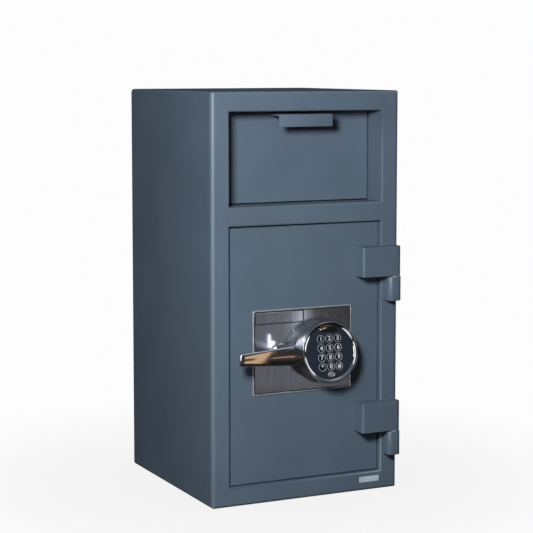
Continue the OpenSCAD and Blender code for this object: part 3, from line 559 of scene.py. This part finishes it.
def lever():
    """A lever with a crowned front, and its neck that goes back into the rose"""
    outline = lever_outline()
    tip_mid, hub_mid = -LEVER_LENGTH + 9.0, 0.0
    back = -LEVER_REACH + LEVER_THICK / 2

    def ring(inset, height, inward=0.0):
        """The outline drawn in by inset, then by a share of its distance from the middle line"""
        points = []
        for x, z in outline:
            middle = Vector((min(max(x, tip_mid), hub_mid), 0.0))
            out = Vector((x, z)) - middle
            p = middle + out * (1.0 - inset / out.length) * (1.0 - inward)
            points.append((HANDLE_X + p.x, FRONT_Y + back - height, HANDLE_Z + p.y))
        return points

    # inset and height of each ring of the sides, then the inward share of each ring of the crown
    side, edge = 2.2, 8.2
    section = [(4.0, 0.0), (1.6, 0.0), (0.7, 0.25), (0.15, 0.9), (0.0, 1.8), (0.0, 5.6), (0.1, 6.3),
               (0.4, 7.1), (0.9, 7.7), (1.5, 8.02), (side, edge)]
    crown = [0.06, 0.14, 0.24, 0.36, 0.5, 0.65, 0.8, 0.97]
    rings = [ring(inset, height) for inset, height in section]
    rings += [ring(side, edge + (LEVER_THICK - edge) * (1 - (1 - f) ** 2), f) for f in crown]
    bm = bmesh.new()
    loft(bm, rings)
    neck = Matrix.Translation((HANDLE_X, FRONT_Y + back, HANDLE_Z)) @ \
        Matrix.Rotation(math.radians(-90), 4, "X")
    turned = lathe(bm, [(0.01, -3.0), (13.5, -0.4), (12.2, 0.5), (11.0, 1.6), (10.3, 3.0), (10.0, 5.0),
                        (10.0, 35.5), (0.01, 35.5)], neck, 64)
    # the two ends of the neck come to a point
    bmesh.ops.remove_doubles(bm, verts=turned[0] + turned[-1], dist=3e-5)
    hung(piece_from("lever_polished", bm, finish["chrome"]), "handle_lever")


def rose():
    """The polished collar between the lever's neck and the plate"""
    place = Matrix.Translation((HANDLE_X, FRONT_Y + PLATE_FRONT + RIM_HEIGHT, HANDLE_Z)) @ \
        Matrix.Rotation(math.radians(90), 4, "X")
    bm = bmesh.new()
    lathe(bm, [(10.5, 0.0), (15.0, 0.0), (15.0, 2.2), (14.6, 3.2), (13.6, 4.0), (12.2, 4.6), (11.0, 5.0),
               (10.7, 4.8), (10.5, 4.2)], place, 80, closed=True)
    hung(piece_from("rose_polished", bm, finish["chrome"]), "handle_rose")


# keypad

def housing():
    """The keypad's tilted cup: its back edge follows the upright lock plate"""
    place = keypad_place()
    steps = 128
    seat = FRONT_Y + PLATE_FRONT + RIM_HEIGHT

    def on_plate(r, lift):
        """A ring pushed back along the cup's axis until it lies on the plate, or lift above it"""
        ring = []
        for point in circle(Matrix.Identity(4), r, 0.0, steps):
            depth = (seat - lift - (place @ point).y) / math.cos(math.radians(KEYPAD_TILT))
            ring.append(place @ Vector((point.x, point.y, -depth)))
        return ring

    rings = [on_plate(46.5, 0.0), on_plate(50.5, 0.0), on_plate(50.5, 2.0)]
    rings += [circle(place, r, z, steps) for r, z in ((50.5, -9.0), (50.3, -7.0), (49.9, -6.2),
                                                      (49.4, -6.0), (46.5, -6.0))]
    bm = bmesh.new()
    joined(bm, rings, closed=True)
    hung(piece_from("keypad_housing_polished", bm, finish["housing_metal"]), "keypad_housing")


def bezel():
    """The chrome ring: a rounded rim, then a cone that falls inwards to the black face"""
    outer = [(FACE_R, -6.0), (RING_R - 0.3, -6.0), (RING_R, -5.7), (RING_R, -0.4)]
    rim = arc(RING_R - 1.5, -0.3, 1.5, 0, 110, 10)
    cone = [(48.7, 0.9), (47.6, 0.35), (46.6, -0.15), (45.7, -0.65), (45.0, -1.1), (44.8, -1.45),
            (44.8, -1.7), (FACE_R, -1.7)]
    bm = bmesh.new()
    lathe(bm, outer + rim + cone, keypad_place(), 128, closed=True)
    hung(piece_from("keypad_ring_polished", bm, finish["keypad_chrome"]), "keypad_ring")


def visor():
    """A smooth dark bump that lies over the ring's inner edge at the top and follows its bend"""
    place = keypad_place()
    half_wide, half_high, foot, crown, layers = 17.0, 6.3, -1.45, 4.2, 8
    middle, bend = 40.8, 95.0
    rings = []
    for layer in range(layers + 1):
        t = layer / layers * math.pi / 2
        shrink, z = max(math.cos(t), 0.02), foot + crown * math.sin(t)
        ring = []
        for a in turns(64):
            # a superellipse, wider than high
            c, s = math.cos(a), math.sin(a)
            x = math.copysign(abs(c) ** 0.75, c) * half_wide * shrink
            y = math.copysign(abs(s) ** 0.85, s) * half_high * shrink
            ring.append(place @ Vector((x, middle - x * x / bend + y, z)))
        rings.append(ring)
    bm = bmesh.new()
    loft(bm, rings)
    hung(piece_from("visor_dome", bm, finish["visor_lens"]), "status_visor")


def oval():
    """A bare oval set in the face, slightly crowned, with a fine raised edge"""
    place = keypad_place()
    half_wide, half_high, middle = 6.5, 4.3, -36.4
    # inset and height of each ring, from the back to the crown
    section = [(0.0, -2.0), (0.0, -1.35), (0.25, -1.15), (0.7, -1.15), (1.0, -1.35), (2.2, -1.25),
               (3.9, -1.2)]
    rings = []
    for inset, z in section:
        wide, high = half_wide - inset, half_high - inset
        rings.append([place @ Vector((wide * math.cos(a), high * math.sin(a) + middle, z))
                      for a in turns(48)])
    bm = bmesh.new()
    loft(bm, rings)
    hung(piece_from("oval_inlay_polished", bm, finish["inlay"]), "oval_inlay")


KEYS = ["key_1", "key_2", "key_3", "key_4", "key_5", "key_6", "key_7", "key_8", "key_9",
        "key_left", "key_0", "key_right"]
KEY_SIGNS = "123456789*0#"


def key_place(index):
    """The keypad's frame, moved to a key: three in a row, from the upper left"""
    col, row = index % 3, index // 3
    return keypad_place() @ Matrix.Translation(((col - 1) * KEY_PITCH_X, (1.5 - row) * KEY_PITCH_Z, 0.0))


def turned_like(place):
    """place's turn, without its shift"""
    return place.to_quaternion().to_matrix().to_4x4()


def digit_mesh(sign, place):
    """A raised print of one plain sign, as a closed mesh in metres"""
    sign_size, raised, seat = 10.2, 0.06, -0.55
    stroke = 0.15 if sign == "*" else 0.25
    text = bpy.data.curves.new("print_" + sign, "FONT")
    text.body = sign
    text.align_x, text.align_y = "CENTER", "CENTER"
    text.size = sign_size * MM
    text.offset = stroke * MM
    text.extrude = raised * MM
    holder = bpy.data.objects.new("print_" + sign, text)
    scene.collection.objects.link(holder)
    graph = bpy.context.evaluated_depsgraph_get()
    graph.update()
    mesh = bpy.data.meshes.new_from_object(holder.evaluated_get(graph), depsgraph=graph)
    bpy.data.objects.remove(holder)
    mesh.transform(Matrix.Translation(place.translation * MM) @ turned_like(place)
                   @ Matrix.Translation((0, 0, seat * MM)))
    return mesh


def keys():
    """Twelve domed caps, each on its own body, with a plain sign printed on it"""
    # radius and height of each ring of a cap, from its foot to its top
    cap = [(0.01, -6.0), (6.9, -6.0), (6.9, -4.3), (KEY_R, -4.3), (KEY_R, -1.35), (5.85, -0.98),
           (5.4, -0.78), (4.4, -0.68), (2.4, -0.62), (0.01, -0.6)]
    for index, node in enumerate(KEYS):
        place = key_place(index)
        bm = bmesh.new()
        lathe(bm, cap, place, 40)
        # the cap's two ends come to a point
        bmesh.ops.remove_doubles(bm, verts=bm.verts, dist=2e-5)
        cap_faces = len(bm.faces)
        bm.from_mesh(digit_mesh(KEY_SIGNS[index], place))
        bm.faces.ensure_lookup_table()
        for face in bm.faces[cap_faces:]:
            face.material_index = 1
        hung(piece_from(node + "_cap", bm, finish["key_plastic"], finish["key_print"], merge=2e-7), node)


def repeated(name, spots, pattern, material):
    """Geometry nodes: one shape set on each spot, such as a rim or a screw"""
    tree = bpy.data.node_groups.new(name + "_pattern", "GeometryNodeTree")
    face = tree.interface
    face.new_socket("Geometry", in_out="INPUT", socket_type="NodeSocketGeometry")
    shape_in = face.new_socket("Shape", in_out="INPUT", socket_type="NodeSocketObject")
    size_in = face.new_socket("Size", in_out="INPUT", socket_type="NodeSocketFloat")
    face.new_socket("Geometry", in_out="OUTPUT", socket_type="NodeSocketGeometry")
    way_in = tree.nodes.new("NodeGroupInput")
    way_out = tree.nodes.new("NodeGroupOutput")
    shape = tree.nodes.new("GeometryNodeObjectInfo")
    onto = tree.nodes.new("GeometryNodeInstanceOnPoints")
    real = tree.nodes.new("GeometryNodeRealizeInstances")
    coat = tree.nodes.new("GeometryNodeSetMaterial")
    coat.inputs["Material"].default_value = material
    link = tree.links.new
    link(way_in.outputs["Geometry"], onto.inputs["Points"])
    link(way_in.outputs["Shape"], shape.inputs["Object"])
    link(shape.outputs["Geometry"], onto.inputs["Instance"])
    link(way_in.outputs["Size"], onto.inputs["Scale"])
    link(onto.outputs["Instances"], real.inputs["Geometry"])
    link(real.outputs["Geometry"], coat.inputs["Geometry"])
    link(coat.outputs["Geometry"], way_out.inputs["Geometry"])

    points = bpy.data.meshes.new(name)
    points.from_pydata([Vector(p) * MM for p in spots], [], [])
    spread = bpy.data.objects.new(name, points)
    scene.collection.objects.link(spread)
    modifier = spread.modifiers.new("pattern", "NODES")
    modifier.node_group = tree
    modifier[shape_in.identifier] = pattern
    modifier[size_in.identifier] = 1.0
    settle(spread)
    bpy.data.objects.remove(pattern)
    smooth(spread.data)
    return spread


def key_rims():
    """The pale fine rim that each key sits in"""
    turn = turned_like(keypad_place())
    rim = [(KEY_R + out, z) for out, z in ((0.3, -1.6), (0.3, -1.3), (0.4, -1.18), (0.65, -1.18),
                                           (0.75, -1.3), (0.75, -1.6))]
    bm = bmesh.new()
    lathe(bm, rim, turn, 40, closed=True)
    pattern = piece_from("key_rim_shape", bm, finish["key_print"])
    spots = [key_place(i).translation for i in range(len(KEYS))]
    rims = repeated("key_rims", spots, pattern, finish["key_print"])
    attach(rims, BODY_OF["keypad_face"])


# screws and inner parts

def socket_screw(name, turn, head_r, head_high, shank_r, shank_long, socket_r):
    """A screw on its own axis, with a hexagon socket: the head's seat is at height 0"""
    steps = 48

    def ring(r, z):
        return circle(turn, r, z, steps)

    def hexagon(r, z):
        points = []
        for t in turns(steps):
            off_flat = (t + math.pi / 6) % (math.pi / 3) - math.pi / 6
            reach = r * math.cos(math.pi / 6) / math.cos(off_flat)
            points.append(turn @ Vector((reach * math.cos(t), reach * math.sin(t), z)))
        return points

    broken = 0.12 * head_high
    bm = bmesh.new()
    loft(bm, [ring(shank_r - 0.4, -shank_long), ring(shank_r, 0.4 - shank_long), ring(shank_r, 0.0),
              ring(head_r - broken, 0.0), ring(head_r, broken), ring(head_r, head_high * 0.78),
              ring(head_r - broken, head_high * 0.94), ring(head_r - 2 * broken, head_high),
              ring(socket_r * 1.15, head_high), hexagon(socket_r, head_high - broken),
              hexagon(socket_r, head_high * 0.35), ring(socket_r * 0.3, head_high * 0.28)])
    return piece_from(name + "_shape", bm, finish["zinc_steel"])


def loose_parts(node):
    """The lowest and highest corners of each separate body in a node's solid, in millimetres"""
    bm = bmesh.new()
    bm.from_mesh(nodes[node].data)
    bmesh.ops.remove_doubles(bm, verts=bm.verts, dist=SAME_PLACE)
    left = set(bm.verts)
    corners = []
    while left:
        edge_of_part, part = [left.pop()], []
        while edge_of_part:
            vert = edge_of_part.pop()
            part.append(vert.co / MM)
            for edge in vert.link_edges:
                other = edge.other_vert(vert)
                if other in left:
                    left.remove(other)
                    edge_of_part.append(other)
        corners.append((Vector([min(c[i] for c in part) for i in range(3)]),
                        Vector([max(c[i] for c in part) for i in range(3)])))
    bm.free()
    return sorted(corners, key=lambda pair: tuple(pair[0]))


def screw_groups():
    """Socket screws on the cover, the bolt bar and the lock case, one group of each"""
    backwards = Matrix.Rotation(math.radians(-90), 4, "X")
    sideways = Matrix.Rotation(math.radians(90), 4, "Y")
    # node, the axis that its screws lie along, their turn, and the sizes that its solids have
    for node, axis, turn, head_r, head_high, shank_r, socket_r in (
            ("cover_screws", 1, backwards, 3.2, 1.6, 1.4, 1.1),
            ("bolt_screws", 0, sideways, 7.0, 4.0, 4.0, 3.0),
            ("lock_screws", 1, backwards, 5.0, 3.0, 3.0, 2.0)):
        spots = []
        for low, high in loose_parts(node):
            seat = (low + high) / 2
            seat[axis] = high[axis] - head_high
            shank_long = seat[axis] - low[axis]
            spots.append(seat)
        pattern = socket_screw(node, turn, head_r, head_high, shank_r, shank_long, socket_r)
        hung(repeated(node + "_socketed", spots, pattern, finish["zinc_steel"]), node)


def fitted_metal():
    """The inner steel parts, each with its rounding in millimetres"""
    for node, rounding in (("locking_bolts", 0.6), ("fixed_bolts", 0.8), ("bolt_bar", 0.5),
                           ("bolt_crank", 0.4), ("lock_case", 1.2), ("lock_bolt", 0.6),
                           ("hard_plate", 0.5)):
        softened(node, rounding, 2)


def other_nodes():
    """The solids that stay as they are take the finish of their slot"""
    for node, made in nodes.items():
        if not made.hide_render:
            made.data.materials.clear()
            made.data.materials.append(finish[SLOT_OF[node]])


# studio

def camera():
    """Where the photograph was taken from, with its frame shifted a little downwards"""
    data = bpy.data.cameras.new("camera")
    data.sensor_width = 36.0
    data.lens = 111.31
    data.shift_x, data.shift_y = 0.0017, -0.08
    data.clip_start, data.clip_end = 0.05, 100.0
    eye = bpy.data.objects.new("camera", data)
    eye.location = (-1.2556, -2.5990, 0.7287)
    eye.rotation_euler = (math.radians(90 - 5.508), 0.0, math.radians(-25.925))
    scene.collection.objects.link(eye)
    scene.camera = eye


WHITE, COLD, VIOLET = (1.0, 1.0, 1.0), (0.92, 0.96, 1.0), (0.96, 0.95, 1.0)
BLUE, WARM, AMBER, ORANGE = (0.45, 0.66, 1.0), (1.0, 0.66, 0.38), (1.0, 0.60, 0.34), (1.0, 0.50, 0.20)


def softbox(name, place, target, size, watts, colour=WHITE, diffuse=True, glossy=True, only=None):
    """A rectangular light; only= lists the pieces that it shines on"""
    data = bpy.data.lights.new(name, "AREA")
    data.shape = "RECTANGLE"
    data.size, data.size_y = size
    data.energy = watts
    data.color = colour
    lamp = bpy.data.objects.new(name, data)
    lamp.location = place
    lamp.rotation_euler = (Vector(target) - Vector(place)).to_track_quat("-Z", "Y").to_euler()
    lamp.visible_camera = False
    lamp.visible_diffuse = diffuse
    lamp.visible_glossy = glossy
    if only:
        lit = bpy.data.collections.new(name + "_pieces")
        for piece in only:
            lit.objects.link(piece)
        lamp.light_linking.receiver_collection = lit
    scene.collection.objects.link(lamp)


BACKDROP = 0.98


def mixed(tree, share, no, yes):
    """A shader that is no where share is 0 and yes where it is 1"""
    mix = tree.nodes.new("ShaderNodeMixShader")
    tree.links.new(share, mix.inputs["Fac"])
    tree.links.new(no, mix.inputs[1])
    tree.links.new(yes, mix.inputs[2])
    return mix.outputs["Shader"]


def combined(tree, operation, one, other):
    """Two values, put together by a math node"""
    maths = tree.nodes.new("ShaderNodeMath")
    maths.operation = operation
    tree.links.new(one, maths.inputs[0])
    tree.links.new(other, maths.inputs[1])
    return maths.outputs["Value"]


def floor():
    """One pale sheet: it takes soft shadows near the object and fades into the pale background"""
    radius, below = 12.0, 0.0002
    bm = bmesh.new()
    bm.faces.new([bm.verts.new((radius * math.cos(t), radius * math.sin(t), 0.0)) for t in turns(96)])
    pale = Finish("pale_floor", (0.09, 0.09, 0.09), 0.8, Specular_IOR_Level=0.1)
    tree = pale.tree
    far = tree.nodes.new("ShaderNodeVectorMath")
    far.operation = "LENGTH"
    tree.links.new(pale.place, far.inputs[0])
    path = tree.nodes.new("ShaderNodeLightPath")

    def by_distance(low, high, start, end):
        """A value that goes from low to high between two distances from the middle, in metres"""
        return pale.ramp(far.outputs["Value"], low, high, start, end)

    def glowing(colour, strength=None):
        glow = tree.nodes.new("ShaderNodeEmission")
        glow.inputs["Color"].default_value = (*colour, 1.0)
        if strength:
            tree.links.new(strength, glow.inputs["Strength"])
        return glow.outputs["Emission"]

    # the disc under the object stays plain, because the holes in its floor look onto it
    seen, mirrored = path.outputs["Is Camera Ray"], path.outputs["Is Glossy Ray"]
    beside = combined(tree, "MULTIPLY", seen, by_distance(0.0, 1.0, 0.165, 0.170))
    to_backdrop = combined(tree, "MULTIPLY", beside, by_distance(0.90, 1.0, 0.22, 0.70))
    # what polished metal shows of it: dark by the object, palest some way out, dimmer beyond
    to_dark = combined(tree, "MULTIPLY", mirrored, by_distance(0.0, 1.0, 0.20, 0.50))
    paleness = combined(tree, "MINIMUM", by_distance(0.2, 1.15, 0.95, 1.45),
                        by_distance(1.15, 0.55, 1.45, 1.9))
    surface = mixed(tree, to_dark, pale.shader.outputs["BSDF"], glowing((0.060, 0.053, 0.053), paleness))
    surface = mixed(tree, to_backdrop, surface, glowing((BACKDROP, BACKDROP, BACKDROP)))
    tree.links.new(surface, tree.nodes["Material Output"].inputs["Surface"])
    sheet = piece_from("floor", bm, pale.material)
    sheet.location.z = -below


def surroundings():
    """Pale for the camera, dim for what the surfaces reflect, with a lighter ceiling"""
    world = bpy.data.worlds.new("studio")
    scene.world = world
    world.use_nodes = True
    tree = world.node_tree
    tree.nodes.clear()
    link = tree.links.new
    path = tree.nodes.new("ShaderNodeLightPath")

    def background(colour, strength=1.0, strength_from=None):
        sky = tree.nodes.new("ShaderNodeBackground")
        sky.inputs["Color"].default_value = (*colour, 1.0)
        sky.inputs["Strength"].default_value = strength
        if strength_from:
            link(strength_from, sky.inputs["Strength"])
        return sky.outputs["Background"]

    towards = tree.nodes.new("ShaderNodeTexCoord")
    parts = tree.nodes.new("ShaderNodeSeparateXYZ")
    ceiling = tree.nodes.new("ShaderNodeMapRange")
    link(towards.outputs["Generated"], parts.inputs["Vector"])
    link(parts.outputs["Z"], ceiling.inputs["Value"])
    for socket, value in (("From Min", 0.25), ("From Max", 0.9), ("To Min", 0.036), ("To Max", 0.30)):
        ceiling.inputs[socket].default_value = value
    soft = background((0.92, 0.96, 1.0), 0.022)
    room = background((0.72, 0.86, 1.0), strength_from=ceiling.outputs["Result"])
    lit = mixed(tree, path.outputs["Is Glossy Ray"], soft, room)
    seen = mixed(tree, path.outputs["Is Camera Ray"], lit, background((1.0, 1.0, 1.0), BACKDROP))
    link(seen, tree.nodes.new("ShaderNodeOutputWorld").inputs["Surface"])


# Cards that only glossy surfaces show: name, place, what it is aimed at, size, watts, colour, and
# the pieces that show it. Each makes one of the bright, warm or blue patches on the polished parts.
CARDS = [
    ("bend_strip", (-1.35, -1.15, 0.42), (-0.17, -0.17, 0.36), (0.26, 0.9), 10.0, WHITE, "all"),
    ("ceiling_card", (0.55, -0.40, 2.0), (0.0, -0.17, 0.40), (1.0, 0.9), 2.5, WHITE, "all"),
    ("lip_card", (0.55, -0.40, 2.0), (0.0, -0.17, 0.40), (0.8, 0.7), 6.0, WHITE, "body"),
    ("rim_card", (-0.50, -1.55, 0.50), (0.03, -0.20, 0.25), (0.20, 1.1), 1.2, WHITE, "keypad_metal"),
    ("side_card", (1.17, -0.44, 0.55), (0.03, -0.20, 0.25), (0.4, 0.5), 0.9, WHITE, "keypad_metal"),
    ("flank_card", (-0.20, -0.64, 0.36), (-0.03, -0.167, 0.27), (0.10, 0.45), 0.34, WHITE, "plate"),
    ("glare_card_high", (-0.0520, -0.196, 0.2705), (-0.066, -0.167, 0.276), (0.0040, 0.014), 0.00042,
     COLD, "plate"),
    ("glare_card_low", (-0.0520, -0.186, 0.2630), (-0.062, -0.167, 0.267), (0.011, 0.010), 0.00075,
     COLD, "plate"),
    ("plate_low_card", (0.385, -0.96, 0.048), (-0.01, -0.167, 0.22), (0.30, 0.085), 0.0175,
     VIOLET, "plate"),
    ("glow_card", (0.092, -0.36, 0.250), (-0.005, -0.167, 0.285), (0.018, 0.090), 0.005, COLD, "plate"),
    ("plate_left_card", (0.305, -0.90, 0.175), (-0.045, -0.167, 0.297), (0.13, 0.075), 0.0072,
     (0.90, 0.95, 1.0), "plate"),
    ("plate_top_card", (0.35, -0.32, 1.02), (0.0, -0.167, 0.32), (0.5, 0.3), 0.24, WHITE, "plate"),
    ("crescent_card", (0.765, -0.37, 0.10), (-0.015, -0.20, 0.27), (0.26, 0.19), 0.28, WHITE, "ring"),
    ("ring_low_card", (0.0, -0.495, 0.117), (0.045, -0.20, 0.30), (0.12, 0.12), 0.054, WHITE, "ring"),
    ("blue_card", (0.30, -0.91, 0.34), (-0.045, -0.21, 0.262), (0.034, 0.14), 0.0055, BLUE, "lever"),
    ("warm_card_high", (0.125, -0.73, 0.2515), (-0.12, -0.21, 0.25), (0.056, 0.103), 0.0111,
     WARM, "lever"),
    ("warm_card_mid", (0.142, -0.73, 0.158), (-0.12, -0.21, 0.25), (0.023, 0.083), 0.0037,
     WARM, "lever"),
    ("warm_card_low", (0.125, -0.73, 0.067), (-0.12, -0.21, 0.25), (0.056, 0.10), 0.0110,
     WARM, "lever"),
    ("amber_card", (0.205, -0.73, 0.150), (-0.05, -0.21, 0.25), (0.065, 0.018), 0.0022, AMBER, "lever"),
    ("visor_card", (0.046, -0.966, 0.55), (0.02, -0.21, 0.29), (0.42, 0.26), 2.6, ORANGE, "visor"),
]


def lights():
    """A small key at the front left, a weak fill, a box each for the back and the right, the cards"""
    made = {piece.name: piece for piece in scene.objects}
    meshes = [piece for piece in made.values() if piece.type == "MESH"]
    object_only = [piece for piece in meshes if piece.name != "floor"]
    ring, cup = made["keypad_ring_polished"], made["keypad_housing_polished"]
    shown_by = {"all": None, "body": [made["body_shell_finished"]], "keypad_metal": [ring, cup],
                "ring": [ring], "plate": [made["lock_plate_pressed"]], "lever": [made["lever_polished"]],
                "visor": [made["visor_dome"]]}
    # the keypad's metal shows only the cards: the key would burn white spots beside it on the plate
    softbox("key_softbox", (-0.88, -1.27, 0.93), (0.0, -0.17, 0.40), (0.27, 0.27), 26.8,
            only=[piece for piece in meshes if piece not in (ring, cup)])
    softbox("front_fill", (-0.1, -2.8, 0.8), (0.0, -0.17, 0.35), (1.6, 1.2), 1.1, glossy=False)
    softbox("back_softbox", (0.25, 2.6, 0.33), (0.0, 0.0, 0.33), (0.8, 0.66), 34.0, glossy=False,
            only=object_only)
    softbox("right_softbox", (2.4, 0.75, 0.33), (0.0, 0.0, 0.33), (1.0, 0.66), 34.0, glossy=False,
            only=object_only)
    for name, place, target, size, watts, colour, shown in CARDS:
        softbox(name, place, target, size, watts, colour, diffuse=False, only=shown_by[shown])


painted_pieces()
lock_plate()
lever()
rose()
housing()
bezel()
softened("keypad_face", 0.25, 2)
visor()
oval()
keys()
key_rims()
screw_groups()
fitted_metal()
other_nodes()
camera()
floor()
surroundings()
lights()
scene.view_settings.view_transform = "Standard"
